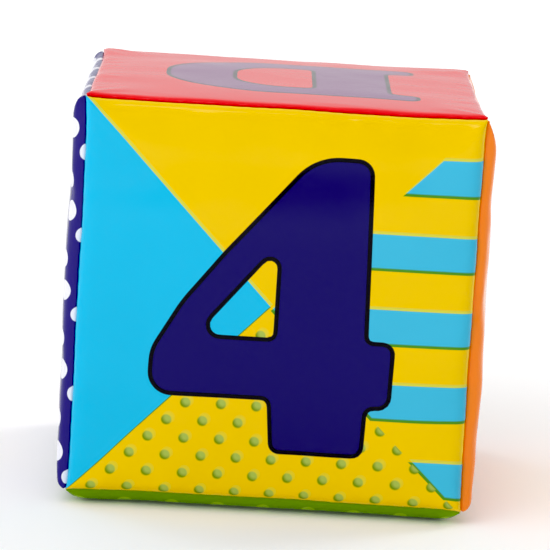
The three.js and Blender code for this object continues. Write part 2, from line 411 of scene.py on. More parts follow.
    def mitre(self, seams):
        """Near a corner the rolls of the two sides run on as they are at mid-side, and meet in a crease."""
        d, m, t = self.d, self.m, self.top
        bottom, right, top, left = seams
        mid = slice(int(m * 0.36), int(m * 0.64) + 1)
        across = [(t[:, mid, 0] - left[mid, 0]).mean(1), (right[mid, 0] - t[:, mid, 0]).mean(1), (t[mid, :, 1] - bottom[mid, 1][:, None]).mean(0), (top[mid, 1][:, None] - t[mid, :, 1]).mean(0)]
        rise = [(t[:, mid, 2] - left[mid, 2]).mean(1), (t[:, mid, 2] - right[mid, 2]).mean(1), (t[mid, :, 2] - bottom[mid, 2][:, None]).mean(0), (t[mid, :, 2] - top[mid, 2][:, None]).mean(0)]
        low = d < SEAM / 2
        u = np.where(low[:, None], left[None, :, 0] + across[0][:, None], right[None, :, 0] - across[1][:, None])
        v = np.where(low[None], bottom[:, None, 1] + across[2][None], top[:, None, 1] - across[3][None])
        wu = np.where(low[:, None], left[None, :, 2] + rise[0][:, None], right[None, :, 2] + rise[1][:, None])
        wv = np.where(low[None], bottom[:, None, 2] + rise[2][None], top[:, None, 2] + rise[3][None])
        from_seam = np.minimum(d, SEAM - d)
        soft = 0.2 + 0.9 * np.exp(-np.minimum(from_seam[:, None], from_seam[None]) / 2.5)
        w = np.minimum(wu, wv) - np.maximum(soft - np.abs(wu - wv), 0) ** 2 / (4 * soft)
        in_by = np.clip((20 - from_seam) / 13, 0, 1)
        k = in_by * in_by * (3 - 2 * in_by)
        k = (k[:, None] * k[None])[..., None]
        self.top = t * (1 - k) + np.stack([u, v, w], -1) * k

    def outer(self):
        """Points, flat places and faces of the outer skin, in the panel's own axes."""
        m = self.m
        pts = np.concatenate([self.top.reshape(-1, 3)] + self.rings)
        flat = np.concatenate([self.flat.reshape(-1, 2)] + self.ring_flat)
        g = np.arange((m + 1) ** 2).reshape(m + 1, m + 1)
        faces = [np.stack([g[:-1, :-1], g[1:, :-1], g[1:, 1:], g[:-1, 1:]], -1).reshape(-1, 4)]
        li, lj = loop_of(m)
        prev = g[li, lj]
        start = (m + 1) ** 2
        for r in range(len(self.rings)):
            now = start + r * 4 * m + np.arange(4 * m)
            faces.append(np.stack([prev, now, np.roll(now, -1), np.roll(prev, -1)], -1))
            prev = now
        return pts, flat, np.concatenate(faces), prev


def normals_of(grid):
    u = np.gradient(grid, axis=0)
    v = np.gradient(grid, axis=1)
    n = np.cross(u, v)
    return n / np.linalg.norm(n, axis=-1, keepdims=True)


def point_normals(pts, quads):
    a, b, c, d = (pts[quads[:, k]] for k in range(4))
    f = np.cross(c - a, d - b)
    out = np.zeros_like(pts)
    for k in range(4):
        np.add.at(out, quads[:, k], f)
    return out / (np.linalg.norm(out, axis=1, keepdims=True) + 1e-12)


def fold(beta, nu, slope):
    """From the crown's border over the seam's edge and down between the panels: (across, out) of each ring, from the seam line."""
    corner = nu + slope * (beta - GAP) * -1.0
    rings = []
    p0, p1, p2 = (beta, nu), (np.full_like(beta, GAP), corner), (np.full_like(beta, GAP), corner - 0.6)
    for t in (0.25, 0.45, 0.62, 0.8, 1.0):
        rings.append(tuple((1 - t) ** 2 * p0[c] + 2 * t * (1 - t) * p1[c] + t * t * p2[c] for c in (0, 1)))
    for across, out in ((GAP + 0.02, -0.75), (0.26, -1.15), (0.34, -1.6), (0.28, -2.1), (0.16, -2.8), (0.12, -3.8), (0.14, -4.8), (0.18, -5.7)):
        rings.append((np.full_like(beta, across), np.minimum(np.full_like(beta, out), corner - 0.6 + (out + 0.6))))
    return rings


def groove(beta, nu, slope):
    """The foam's wall beside the turned-in strips, down to the seam's bisector."""
    rings = [(np.maximum(beta * 0.5 + 0.5, 0.95), nu - 0.55)]
    for across, out in ((0.95, -1.4), (0.97, -2.6), (0.97, -4.2), (0.95, -5.6), (0.78, -6.3), (0.4, -6.65), (0.0, -6.75)):
        rings.append((np.full_like(beta, across), np.full_like(beta, out)))
    return rings


def bumps(seed, waves, low, high):
    """A smooth random height over a panel, about -1..1, from a few waves of lengths low..high."""
    rng = np.random.RandomState(seed)
    a = rng.uniform(0, 2 * math.pi, waves)
    k = 2 * math.pi / rng.uniform(low, high, waves)
    ph = rng.uniform(0, 2 * math.pi, waves)

    def f(flat):
        out = 0
        for i in range(waves):
            out = out + np.sin((flat[..., 0] * math.cos(a[i]) + flat[..., 1] * math.sin(a[i])) * k[i] + ph[i])
        return out / waves**0.5

    return f


def panel_lift(seed, dents=(), strength=1.0, creases=1.0):
    """Small unevenness: wide waves, ripples beside the seams, stitches that pull, creases that fan out of the corners, and dents as (x, y, reach in x and y, depth)."""
    wide, ripple, phase = bumps(seed, 7, 26, 60), bumps(seed + 50, 5, 5.5, 10), bumps(seed + 90, 4, 18, 40)
    turn = np.random.RandomState(seed + 7).uniform(0, 2 * math.pi, (2, 2))
    size = np.random.RandomState(seed + 8).uniform(0.5, 1.2, (2, 2))

    def f(flat):
        d = SEAM / 2 - np.max(np.abs(flat), -1)
        edge = np.clip(d / 3.5, 0, 1)
        near = np.exp(-((d - 2.6) / 2.4) ** 2)
        along = np.where(np.abs(flat[..., 0]) > np.abs(flat[..., 1]), flat[..., 1], flat[..., 0])
        stitch = -0.05 * (1 + np.cos(along * 2 * math.pi / STITCH)) * np.exp(-np.maximum(d, 0) / 0.9) * np.clip((SEAM / 2 - np.abs(along)) / 4, 0, 1)
        a, b = SEAM / 2 - np.abs(flat[..., 0]), SEAM / 2 - np.abs(flat[..., 1])
        rho, theta = np.hypot(a, b), np.arctan2(b, a)
        which = (flat[..., 0] > 0).astype(int), (flat[..., 1] > 0).astype(int)
        fan = 0.1 * size[which] * np.exp(-(((rho - 6.5) / 4.5) ** 2)) * np.sin(theta * 8 + turn[which]) * np.sin(2 * theta)
        out = strength * (0.11 * wide(flat) * edge + 0.05 * ripple(flat) * near * edge * (1 + phase(flat)) + creases * fan) + stitch
        for x, y, rx, ry, depth in dents:
            out = out - depth * np.exp(-(((flat[..., 0] - x) / rx) ** 2) - ((flat[..., 1] - y) / ry) ** 2)
        return out

    return f


# ---------------------------------------------------------------- meshes


def new_mesh(name, pts, quads, slots=None, flat=None, uv=None, attributes=None, face=None):
    mesh = bpy.data.meshes.new(name)
    p = pts if face is None else to_block(face, pts)
    p = (p + np.array([0, 0, CENTRE_Z])) * MM
    mesh.from_pydata(p.tolist(), [], quads.tolist())
    if slots is not None:
        mesh.polygons.foreach_set("material_index", slots.astype(np.int32))
    mesh.polygons.foreach_set("use_smooth", np.ones(len(quads), bool))
    if flat is not None:
        a = mesh.attributes.new("print", "FLOAT_VECTOR", "POINT")
        a.data.foreach_set("vector", np.column_stack([flat, np.zeros(len(flat))]).astype(np.float32).ravel())
    for key, values in (attributes or {}).items():
        a = mesh.attributes.new(key, "FLOAT", "POINT")
        a.data.foreach_set("value", values.astype(np.float32))
    if uv is not None:
        layer = mesh.uv_layers.new(name="OFBake")
        loops = np.zeros(len(mesh.loops), np.int32)
        mesh.loops.foreach_get("vertex_index", loops)
        layer.data.foreach_set("uv", uv[loops].astype(np.float32).ravel())
    mesh.update()
    mesh.validate()
    return mesh


def new_piece(name, mesh, *materials):
    ob = bpy.data.objects.new(name, mesh)
    scene.collection.objects.link(ob)
    for m in materials:
        mesh.materials.append(m)
    return ob


# ---------------------------------------------------------------- drawings, as distances inside a shape


def rounded(corners, steps=9):
    """A closed outline from (x, y, radius of the corner)."""
    pts = np.array([c[:2] for c in corners], float)
    rad = np.array([c[2] for c in corners], float)
    out = []
    n = len(pts)
    for i in range(n):
        p, a, b = pts[i], pts[i - 1], pts[(i + 1) % n]
        da, db = (a - p) / np.linalg.norm(a - p), (b - p) / np.linalg.norm(b - p)
        angle = math.acos(max(-1, min(1, float(da @ db))))
        t = rad[i] / math.tan(angle / 2)
        mid = (da + db) / (np.linalg.norm(da + db) + 1e-12)
        centre = p + mid * rad[i] / math.sin(angle / 2)
        s, e = p + da * t - centre, p + db * t - centre
        a0 = math.atan2(s[1], s[0])
        turn = (math.atan2(e[1], e[0]) - a0 + math.pi) % (2 * math.pi) - math.pi
        for k in range(steps + 1):
            w = a0 + turn * k / steps
            out.append(centre + rad[i] * np.array([math.cos(w), math.sin(w)]))
    return np.array(out)


def inside(flat, line):
    """How deep each place lies inside a closed outline, negative outside."""
    p = flat.reshape(-1, 1, 2)
    a, b = line[None], np.roll(line, -1, 0)[None]
    best = np.full(len(p), 1e9)
    within = np.zeros(len(p), bool)
    for k in range(0, line.shape[0], 32):
        aa, bb = a[:, k : k + 32], b[:, k : k + 32]
        d = bb - aa
        t = np.clip(((p - aa) * d).sum(-1) / ((d * d).sum(-1) + 1e-12), 0, 1)
        off = p - aa - d * t[..., None]
        best = np.minimum(best, (off * off).sum(-1).min(1))
        y0, y1, x0, x1 = aa[..., 1], bb[..., 1], aa[..., 0], bb[..., 0]
        cross = (y0 > p[..., 1]) != (y1 > p[..., 1])
        x_at = x0 + (p[..., 1] - y0) / np.where(y1 == y0, 1e-9, y1 - y0) * (x1 - x0)
        within ^= (cross & (p[..., 0] < x_at)).sum(1) % 2 == 1
    return (np.sqrt(best) * np.where(within, 1, -1)).reshape(flat.shape[:-1])


def numeral():
    outline = rounded([(17.15, 29.1, 3.2), (17.9, -5.35, 0.9), (22.9, -5.35, 2.4), (22.8, -18.6, 2.6), (18.45, -18.6, 1.2), (18.2, -28.05, 2.2), (0.35, -28.05, 2.2), (-0.55, -17.8, 1.2), (-23.2, -17.9, 4.4), (-23.1, -9.2, 8), (-17.7, 0.6, 30), (-10.1, 10.5, 40), (6.0, 29.2, 11)])
    hole = rounded([(0.0, 11.5, 1.4), (-0.05, -5.7, 0.9), (-14.2, -5.7, 1.9)])
    return lambda f: np.minimum(inside(f, outline), -inside(f, hole))


def letter():
    outline = rounded([(-26.2, 24.5, 2.6), (24.2, 24.5, 21.5), (24.2, -24.5, 21.5), (-26.2, -24.5, 2.6), (-26.2, -17.4, 2.4), (-20.8, -16.8, 2.0), (-20.8, 16.8, 2.0), (-26.2, 17.4, 2.4)])
    hole = rounded([(-5.0, 15.2, 1.8), (10.0, 15.2, 11.5), (10.0, -15.2, 11.5), (-5.0, -15.2, 1.8)])
    return lambda f: np.minimum(inside(-f, outline), -inside(-f, hole))


def star(cx, cy, big, small, tip, dent, turn=0.0, points=5):
    corners = []
    for k in range(2 * points):
        r = big if k % 2 == 0 else small
        w = math.pi / 2 + turn + math.pi * k / points
        corners.append((cx + r * math.cos(w), cy + r * math.sin(w), tip if k % 2 == 0 else dent))
    return rounded(corners)


# ---------------------------------------------------------------- materials


def linear(r, g, b):
    def one(c):
        c /= 255
        return c / 12.92 if c <= 0.04045 else ((c + 0.055) / 1.055) ** 2.4

    return (one(r), one(g), one(b), 1.0)


class Val:
    """A number on its way through a material's nodes."""

    def __init__(self, net, out):
        self.net, self.out = net, out

    def do(self, op, *more, clamp=False):
        n = self.net.nodes.new("ShaderNodeMath")
        n.operation, n.use_clamp = op, clamp
        for k, v in enumerate((self, *more)):
            if isinstance(v, Val):
                self.net.links.new(v.out, n.inputs[k])
            else:
                n.inputs[k].default_value = v
        return Val(self.net, n.outputs[0])

    def __add__(self, o):
        return self.do("ADD", o)

    def __sub__(self, o):
        return self.do("SUBTRACT", o)

    def __mul__(self, o):
        return self.do("MULTIPLY", o)

    def __neg__(self):
        return self.do("MULTIPLY", -1.0)

    def abs(self):
        return self.do("ABSOLUTE")

    def min(self, o):
        return self.do("MINIMUM", o)

    def max(self, o):
        return self.do("MAXIMUM", o)

    def wrap(self, half):
        return self.do("WRAP", half, -half)

    def edge(self, soft=0.12, at=0.0):
        """0 below, 1 above."""
        n = self.net.nodes.new("ShaderNodeMapRange")
        n.interpolation_type = "SMOOTHSTEP"
        n.inputs["From Min"].default_value = at - soft / 2
        n.inputs["From Max"].default_value = at + soft / 2
        self.net.links.new(self.out, n.inputs["Value"])
        return Val(self.net, n.outputs["Result"])


class Net:
    def __init__(self, name):
        self.mat = bpy.data.materials.new(name)
        self.mat.use_nodes = True
        self.tree = self.mat.node_tree
        self.nodes, self.links = self.tree.nodes, self.tree.links
        self.shader = self.nodes["Principled BSDF"]

    def attribute(self, name, kind="Fac"):
        n = self.nodes.new("ShaderNodeAttribute")
        n.attribute_name = name
        return n.outputs[kind]

    def number(self, name):
        return Val(self, self.attribute(name))

    def place(self):
        """x and y on the flat panel, in millimetres."""
        n = self.nodes.new("ShaderNodeSeparateXYZ")
        self.links.new(self.attribute("print", "Vector"), n.inputs[0])
        return Val(self, n.outputs[0]), Val(self, n.outputs[1])

    def noise(self, vector, scale, detail=2.0, rough=0.5, kind="Fac"):
        n = self.nodes.new("ShaderNodeTexNoise")
        n.inputs["Scale"].default_value = scale
        n.inputs["Detail"].default_value = detail
        n.inputs["Roughness"].default_value = rough
        self.links.new(vector, n.inputs["Vector"])
        return Val(self, n.outputs[kind])

    def mix(self, a, b, share):
        n = self.nodes.new("ShaderNodeMix")
        n.data_type = "RGBA"
        for key, v in (("A", a), ("B", b)):
            s = [i for i in n.inputs if i.name == key and i.type == "RGBA"][0]
            if isinstance(v, tuple):
                s.default_value = v
            else:
                self.links.new(v, s)
        f = [i for i in n.inputs if i.name == "Factor" and i.type == "VALUE"][0]
        if isinstance(share, Val):
            self.links.new(share.out, f)
        else:
            f.default_value = share
        return [o for o in n.outputs if o.type == "RGBA"][0]


INK = {
    "yellow": linear(239, 199, 0),
    "cyan": linear(28, 187, 231),
    "stripe": linear(64, 186, 222),
    "green_edge": linear(78, 144, 30),
    "soft_edge": linear(214, 208, 72),
    "olive": linear(116, 144, 0),
    "dot": linear(168, 188, 84),
    "indigo": linear(27, 18, 104),
    "black": linear(12, 8, 18),
    "red": linear(232, 20, 30),
    "purple": linear(126, 66, 124),
    "orange": linear(255, 139, 42),
    "amber": linear(255, 176, 44),
    "navy": linear(42, 32, 124),
    "white": linear(236, 236, 246),
    "green": linear(118, 164, 12),
    "lime": linear(158, 198, 36),
    "lemon": linear(252, 228, 92),
}


def finish_vinyl(net, colour):
    vec = net.attribute("print", "Vector")
    shade = net.noise(vec, 0.05, 3.0)
    n = net.nodes.new("ShaderNodeHueSaturation")
    value = shade * 0.06 + 0.97
    net.links.new(value.out, n.inputs["Value"])
    net.links.new(colour, n.inputs["Color"])
    net.links.new(n.outputs[0], net.shader.inputs["Base Color"])
    rough = net.noise(vec, 0.12, 4.0) * 0.08 + 0.13
    net.links.new(rough.out, net.shader.inputs["Roughness"])
    net.shader.inputs["IOR"].default_value = 1.4
    grain = net.noise(vec, 1.6, 2.0) * 0.6 + net.noise(vec, 0.35, 2.0)
    bump = net.nodes.new("ShaderNodeBump")
    bump.inputs["Strength"].default_value = 0.24
    bump.inputs["Distance"].default_value = 0.00004
    net.links.new(grain.out, bump.inputs["Height"])
    net.links.new(bump.outputs[0], net.shader.inputs["Normal"])
    return net.mat


def laid(net, colour, depth, fill, line=0.0):
    """A shape laid over a colour, with a dark outline of that width inside its edge."""
    if line:
        colour = net.mix(colour, INK["black"], depth.edge(0.1))
    return net.mix(colour, fill, depth.edge(0.1, line))


def spots(x, y, half, places):
    """How deep a place lies in the dots of a square lattice: places is [(x, y, radius)]."""
    best = None
    for dx, dy, r in places:
        a, b = (x - dx).wrap(half), (y - dy).wrap(half)
        d = ((a * a) + (b * b)).do("SQRT") * -1.0 + r
        best = d if best is None else best.max(d)
    return best


def disc_depth(x, y, cx, cy, r):
    a, b = x - cx, y - cy
    return ((a * a) + (b * b)).do("SQRT") * -1.0 + r


def bow_depth(x, y, cx, cy, turn, size=3.6):
    """Two small triangles, point to point."""
    a, b = x - cx, y - cy
    along, across = a * math.cos(turn) + b * math.sin(turn), b * math.cos(turn) - a * math.sin(turn)
    return (along.abs() * -1.0 + size).min((along.abs() * 0.42 + 0.75 - across.abs()) * 0.92)


def print_front():
    net = Net("vinyl_front")
    x, y = net.place()
    x = x + 0.5
    off_x, off_y = x + 0.28, y + 0.58  # the cyan plate sits a little low and to the left

    def plate(px, py):
        rise = py - 0.7
        left = -px - (rise * 0.965).max(rise * -0.977)
        row = (((py + 2.05).wrap(7.2)).abs() * -1.0 + 3.5).min(py.abs() * -1.0 + 35.4)
        return left, row.min(px - py.abs())

    yellow_left, yellow_row = plate(x, y)
    cyan_left, cyan_row = plate(off_x, off_y)
    low = (-y - x.abs()) - 0.35
    two = [(1.75, -22.1, 0.95), (1.75 + 3.36, -22.1 + 3.4, 0.95)]

    def dots(px, py, grow):
        best = None
        for dx, dy, r in two:
            a, b = (px - dx).wrap(3.36), (py - dy).wrap(3.4)
            d = ((a * a) + (b * b)).do("SQRT") * -1.0 + (r + grow)
            best = d if best is None else best.max(d)
        return best.min(low)

    dots_bare = dots(x - 0.1, y - 0.1, 0.1)
    dots_cyan = dots(x + 0.32, y + 0.36, 0.0)
    y_out = yellow_left.edge(0.1).max(yellow_row.edge(0.3))
    # yellow, paler where it is left out, then cyan over it: green where the two overlap
    colour = net.mix(INK["yellow"], INK["soft_edge"], y_out.max(dots_bare.edge(0.6) * 0.5))
    colour = net.mix(colour, net.mix(INK["green_edge"], INK["stripe"], y_out), cyan_row.edge(0.16))
    colour = net.mix(colour, net.mix(INK["green_edge"], INK["cyan"], y_out), cyan_left.edge(0.16))
    colour = net.mix(colour, net.mix(INK["olive"], INK["dot"], dots_bare.edge(0.9, 0.1)), dots_cyan.edge(0.35))
    art = net.number("art")
    colour = net.mix(colour, INK["black"], art.edge(0.12))
    colour = net.mix(colour, INK["indigo"], art.edge(0.12, 0.85))
    return finish_vinyl(net, colour)


def print_top():
    net = Net("vinyl_top")
    return finish_vinyl(net, laid(net, INK["red"], net.number("art"), INK["purple"], 0.85))


def print_right():
    """Orange, with a star on a round ground and a ring in each corner."""
    net = Net("vinyl_right")
    x, y = net.place()
    colour = laid(net, INK["orange"], disc_depth(x, y, 0, 0, 30.5), INK["amber"], 0.7)
    colour = laid(net, colour, net.number("art"), INK["yellow"], 0.85)
    colour = net.mix(colour, INK["lemon"], net.number("art").edge(0.1, 6.0))
    ring = disc_depth(x.abs(), y.abs(), 28.6, 28.6, 4.6)
    colour = laid(net, colour, ring, INK["purple"], 0.7)
    colour = laid(net, colour, ring - 2.2, INK["lemon"])
    return finish_vinyl(net, colour)


def print_left():
    """Navy with white dots of three sizes, under a moon and a small star."""
    net = Net("vinyl_left")
    x, y = net.place()
    lattice = [(dx - 3.1, dy + 2.3, r) for dx, dy, r in ((0, 0, 3.4), (6.5, 4.0, 1.75), (7.5, -2.0, 1.95), (-4.2, -6.4, 1.5), (3.4, -6.8, 1.5))]
    colour = net.mix(INK["navy"], INK["white"], spots(x, y, 7.7, lattice).edge(0.12))
    moon = disc_depth(x, y, -3.0, 0.0, 21.0).min(-disc_depth(x, y, 7.5, 4.5, 16.5))
    colour = laid(net, colour, moon, INK["yellow"], 0.85)
    colour = laid(net, colour, net.number("art"), INK["lemon"], 0.8)
    return finish_vinyl(net, colour)


def print_back():
    """Wavy green and red stripes, with a kite of four colours and its tail."""
    net = Net("vinyl_back")
    x, y = net.place()
    wave = (x + (y * (2 * math.pi / 25.0)).do("SINE") * 1.7).wrap(7.7).abs() - 3.85
    colour = net.mix(INK["green"], INK["red"], wave.edge(0.1))
    colour = net.mix(colour, INK["black"], (wave.abs() * -1.0 + 0.28).edge(0.1))
    sway = x - 1.0 - ((y + 17.0) * (2 * math.pi / 13.0)).do("SINE") * 2.3
    string = (sway.abs() * -1.0 + 0.55).min(-y - 16.5).min(y + 36.5)
    colour = net.mix(colour, INK["black"], string.edge(0.1))
    for cx, cy, turn, ink in ((3.0, -22.6, 0.5, "lemon"), (-0.6, -28.6, -0.4, "cyan"), (3.0, -34.6, 0.3, "orange")):
        colour = laid(net, colour, bow_depth(x, y, cx, cy, turn), INK[ink], 0.5)
    upper, right = (y - 8.0).edge(0.1), (x - 1.0).edge(0.1)
    sail = net.mix(net.mix(INK["orange"], INK["purple"], right), net.mix(INK["yellow"], INK["cyan"], right), upper)
    bars = ((y - 8.0).abs().min((x - 1.0).abs()) * -1.0 + 0.42).edge(0.1)
    colour = laid(net, colour, net.number("art"), net.mix(sail, INK["black"], bars), 0.85)
    return finish_vinyl(net, colour)


def print_bottom():
    """Green with paler dots, and a ball of six coloured wedges."""
    net = Net("vinyl_bottom")
    x, y = net.place()
    colour = net.mix(INK["green"], INK["lime"], spots(x, y, 4.4, [(0, 0, 1.3), (4.4, 4.4, 1.3)]).edge(0.15))
    r = ((x * x) + (y * y)).do("SQRT")
    angle = y.do("ARCTAN2", x) + r * 0.022
    share = (angle * (1 / (2 * math.pi))).wrap(0.5) + 0.5
    wedges = net.nodes.new("ShaderNodeValToRGB")
    wedges.color_ramp.interpolation = "CONSTANT"
    marks = wedges.color_ramp.elements
    for k, ink in enumerate(("red", "white", "cyan", "yellow", "white", "orange")):
        e = marks[k] if k < 2 else marks.new(k / 6)
        e.position = k / 6
        e.color = INK[ink]
    net.links.new(share.out, wedges.inputs[0])
    spoke = (angle.wrap(math.pi / 6).abs() * r * -1.0 + 0.38).edge(0.1)
    colour = laid(net, colour, r * -1.0 + 26.0, net.mix(wedges.outputs[0], INK["black"], spoke), 0.85)
    colour = laid(net, colour, r * -1.0 + 5.2, INK["lemon"], 0.7)
    return finish_vinyl(net, colour)


def backing():
    net = Net("vinyl_backing")
    vec = net.attribute("print", "Vector")
    tone = net.noise(vec, 1.2, 3.0)
    colour = net.mix(linear(226, 224, 216), linear(240, 239, 234), tone)
    net.links.new(colour, net.shader.inputs["Base Color"])
    net.shader.inputs["Roughness"].default_value = 0.7
    return net.mat


def foam_material():
    net = Net("foam")
    n = net.nodes.new("ShaderNodeTexCoord")
    v = net.nodes.new("ShaderNodeTexVoronoi")
    v.inputs["Scale"].default_value = 900.0
    net.links.new(n.outputs["Object"], v.inputs["Vector"])
    cell = Val(net, v.outputs["Distance"])
    colour = net.mix(linear(214, 207, 186), linear(244, 240, 226), (cell * 1.6))
    net.links.new(colour, net.shader.inputs["Base Color"])
    net.shader.inputs["Roughness"].default_value = 0.95
    bump = net.nodes.new("ShaderNodeBump")
    bump.inputs["Strength"].default_value = 0.8
    bump.inputs["Distance"].default_value = 0.0003
    net.links.new(cell.out, bump.inputs["Height"])
    net.links.new(bump.outputs[0], net.shader.inputs["Normal"])
    return net.mat


def thread_material():
    net = Net("thread")
    n = net.nodes.new("ShaderNodeTexCoord")
    w = net.nodes.new("ShaderNodeTexNoise")
    w.inputs["Scale"].default_value = 2500.0
    net.links.new(n.outputs["Object"], w.inputs["Vector"])
    t = Val(net, w.outputs["Fac"])
    colour = net.mix(linear(226, 222, 210), linear(248, 246, 238), t)
    net.links.new(colour, net.shader.inputs["Base Color"])
    net.shader.inputs["Roughness"].default_value = 0.55
    net.shader.inputs["Sheen Weight"].default_value = 0.2
    return net.mat


# ---------------------------------------------------------------- camera, floor and light


def aim(ob, target, roll=0.0):
    look = (Vector(target) - ob.location).to_track_quat("-Z", "Y")
    ob.rotation_mode = "QUATERNION"
    ob.rotation_quaternion = look @ Matrix.Rotation(roll, 3, "Z").to_quaternion()


cam_data = bpy.data.cameras.new("camera")
camera = bpy.data.objects.new("camera", cam_data)
scene.collection.objects.link(camera)
scene.camera = camera
cam_data.sensor_width = 36.0
cam_data.lens = 257.0
cam_data.clip_start, cam_data.clip_end = 0.01, 20.0
camera.location = (-0.0075, -0.770, 0.169)
aim(camera, (0.0, 0.0, 0.040), math.radians(3.5))


def floor_material():
    net = Net("floor")
    n = net.nodes.new("ShaderNodeTexCoord")
    w = net.nodes.new("ShaderNodeTexNoise")
    w.inputs["Scale"].default_value = 1.3
    net.links.new(n.outputs["Object"], w.inputs["Vector"])
    colour = net.mix((0.92, 0.92, 0.925, 1), (0.95, 0.95, 0.95, 1), Val(net, w.outputs["Fac"]))
    net.links.new(colour, net.shader.inputs["Base Color"])
    net.shader.inputs["Roughness"].default_value = 0.8
    net.shader.inputs["Specular IOR Level"].default_value = 0.1
    # lit up further out, so that it runs into the white backdrop
    split = net.nodes.new("ShaderNodeSeparateXYZ")
    net.links.new(n.outputs["Object"], split.inputs[0])
    x, y = Val(net, split.outputs[0]), Val(net, split.outputs[1])
    glow = ((x * x) + (y * y)).do("SQRT").edge(1.3, 1.0) * 0.55 + 0.05
    net.shader.inputs["Emission Color"].default_value = (1.0, 1.0, 1.0, 1)
    net.links.new(glow.out, net.shader.inputs["Emission Strength"])
    return net.mat


def disc(name, radius, rings=6, around=96):
    w = np.arange(around) / around * 2 * math.pi
    pts, faces = [(0.0, 0.0, 0.0)], []
    for r in range(1, rings + 1):
        for a in w:
            pts.append((radius * r / rings * math.cos(a), radius * r / rings * math.sin(a), 0.0))
    for k in range(around):
        faces.append((0, 1 + k, 1 + (k + 1) % around))
    for r in range(1, rings):
        for k in range(around):
            a, b = 1 + (r - 1) * around, 1 + r * around
            faces.append((a + k, b + k, b + (k + 1) % around, a + (k + 1) % around))
    mesh = bpy.data.meshes.new(name)
    mesh.from_pydata(pts, [], faces)
    return mesh


floor = new_piece("floor", disc("floor", 4.0), floor_material())
floor.location.z = -0.0001

def studio_world():
    """A white room seen directly. What it lights is brightest behind the block, as a lit backdrop is, dim at the sides, dimmest at the right, and a little brighter low in front."""
    w = bpy.data.worlds.new("studio")
    w.use_nodes = True
    nodes, links = w.node_tree.nodes, w.node_tree.links
    sky = nodes["Background"]
    sky.inputs[0].default_value = (1.0, 1.0, 1.0, 1)
    place = nodes.new("ShaderNodeTexCoord")
    split = nodes.new("ShaderNodeSeparateXYZ")
    links.new(place.outputs["Generated"], split.inputs[0])

    def ramp(socket, lo, hi):
        n = nodes.new("ShaderNodeMapRange")
        n.interpolation_type = "SMOOTHSTEP"
        n.inputs["From Min"].default_value, n.inputs["From Max"].default_value = lo, hi
        links.new(socket, n.inputs["Value"])
        return n.outputs["Result"]

    def maths(op, a, b):
        n = nodes.new("ShaderNodeMath")
        n.operation = op
        for k, v in enumerate((a, b)):
            if isinstance(v, (int, float)):
                n.inputs[k].default_value = v
            else:
                links.new(v, n.inputs[k])
        return n.outputs[0]

    behind = ramp(split.outputs[1], 0.35, 0.85)
    above = ramp(split.outputs[2], 0.25, 0.75)
    level = maths("ADD", maths("MULTIPLY", behind, BACKDROP - ROOM), ROOM)
    level = maths("ADD", level, maths("MULTIPLY", above, CEILING))
    level = maths("SUBTRACT", level, maths("MULTIPLY", ramp(split.outputs[0], 0.1, 0.8), DIM_RIGHT))
    in_front = maths("MULTIPLY", ramp(maths("MULTIPLY", split.outputs[1], -1.0), 0.5, 0.9), maths("SUBTRACT", 1.0, ramp(split.outputs[2], 0.05, 0.45)))
    level = maths("ADD", level, maths("MULTIPLY", in_front, LOW_FRONT))
    links.new(level, sky.inputs[1])
    seen = nodes.new("ShaderNodeBackground")
    seen.inputs[0].default_value = (1.0, 1.0, 1.0, 1)
    seen.inputs[1].default_value = 1.0
    both = nodes.new("ShaderNodeMixShader")
    path = nodes.new("ShaderNodeLightPath")
    links.new(path.outputs["Is Camera Ray"], both.inputs[0])
    links.new(sky.outputs[0], both.inputs[1])
    links.new(seen.outputs[0], both.inputs[2])
    links.new(both.outputs[0], nodes["World Output"].inputs[0])
    return w


BACKDROP, ROOM, CEILING, DIM_RIGHT, LOW_FRONT = 0.78, 0.33, 0.55, 0.26, 0.22
scene.world = studio_world()
scene.view_settings.view_transform = "Standard"
scene.view_settings.use_curve_mapping = True
scene.view_settings.curve_mapping.black_level = (0.029, 0.029, 0.029)


def area(name, place, target, size, power, size_y=None):
    data = bpy.data.lights.new(name, "AREA")
    data.shape = "RECTANGLE"
    data.size, data.size_y = size, size_y or size
    data.energy = power
    ob = bpy.data.objects.new(name, data)
    scene.collection.objects.link(ob)
    ob.location = place
    aim(ob, target)
    return ob


area("key", (-0.62, -1.06, 1.02), (0, 0, 0.04), 1.2, 8.1, 0.8)
area("side", (-0.95, -0.35, 0.35), (0, 0, 0.04), 0.35, 0.9, 0.6)
area("window_left", (-1.15, 1.05, 0.85), (0, 0, 0.04), 0.5, 3.0, 0.7)
area("window_right", (1.10, 0.82, 0.90), (0, 0, 0.04), 0.5, 6.4, 0.7)

# ---------------------------------------------------------------- building

lat, cover = sewn_cover()

vinyl = {
    "front": print_front(),
    "top": print_top(),
    "right": print_right(),
    "left": print_left(),
    "back": print_back(),
    "bottom": print_bottom(),
}
plain_back = backing()


def area_of(line):
    return lambda f: inside(f, line)


drawings = {
    "front": {"art": numeral()},
    "top": {"art": letter()},
    "right": {"art": area_of(star(0, -0.8, 25.5, 13.6, 3.2, 4.0))},
    "left": {"art": area_of(star(10.5, 7.0, 8.2, 4.2, 1.1, 1.4, 0.2))},
    "back": {
        "art": area_of(rounded([(1, 30, 1.2), (17.5, 8, 1.6), (1, -19, 1.2), (-15.5, 8, 1.6)])),
    },
    "bottom": {},
}

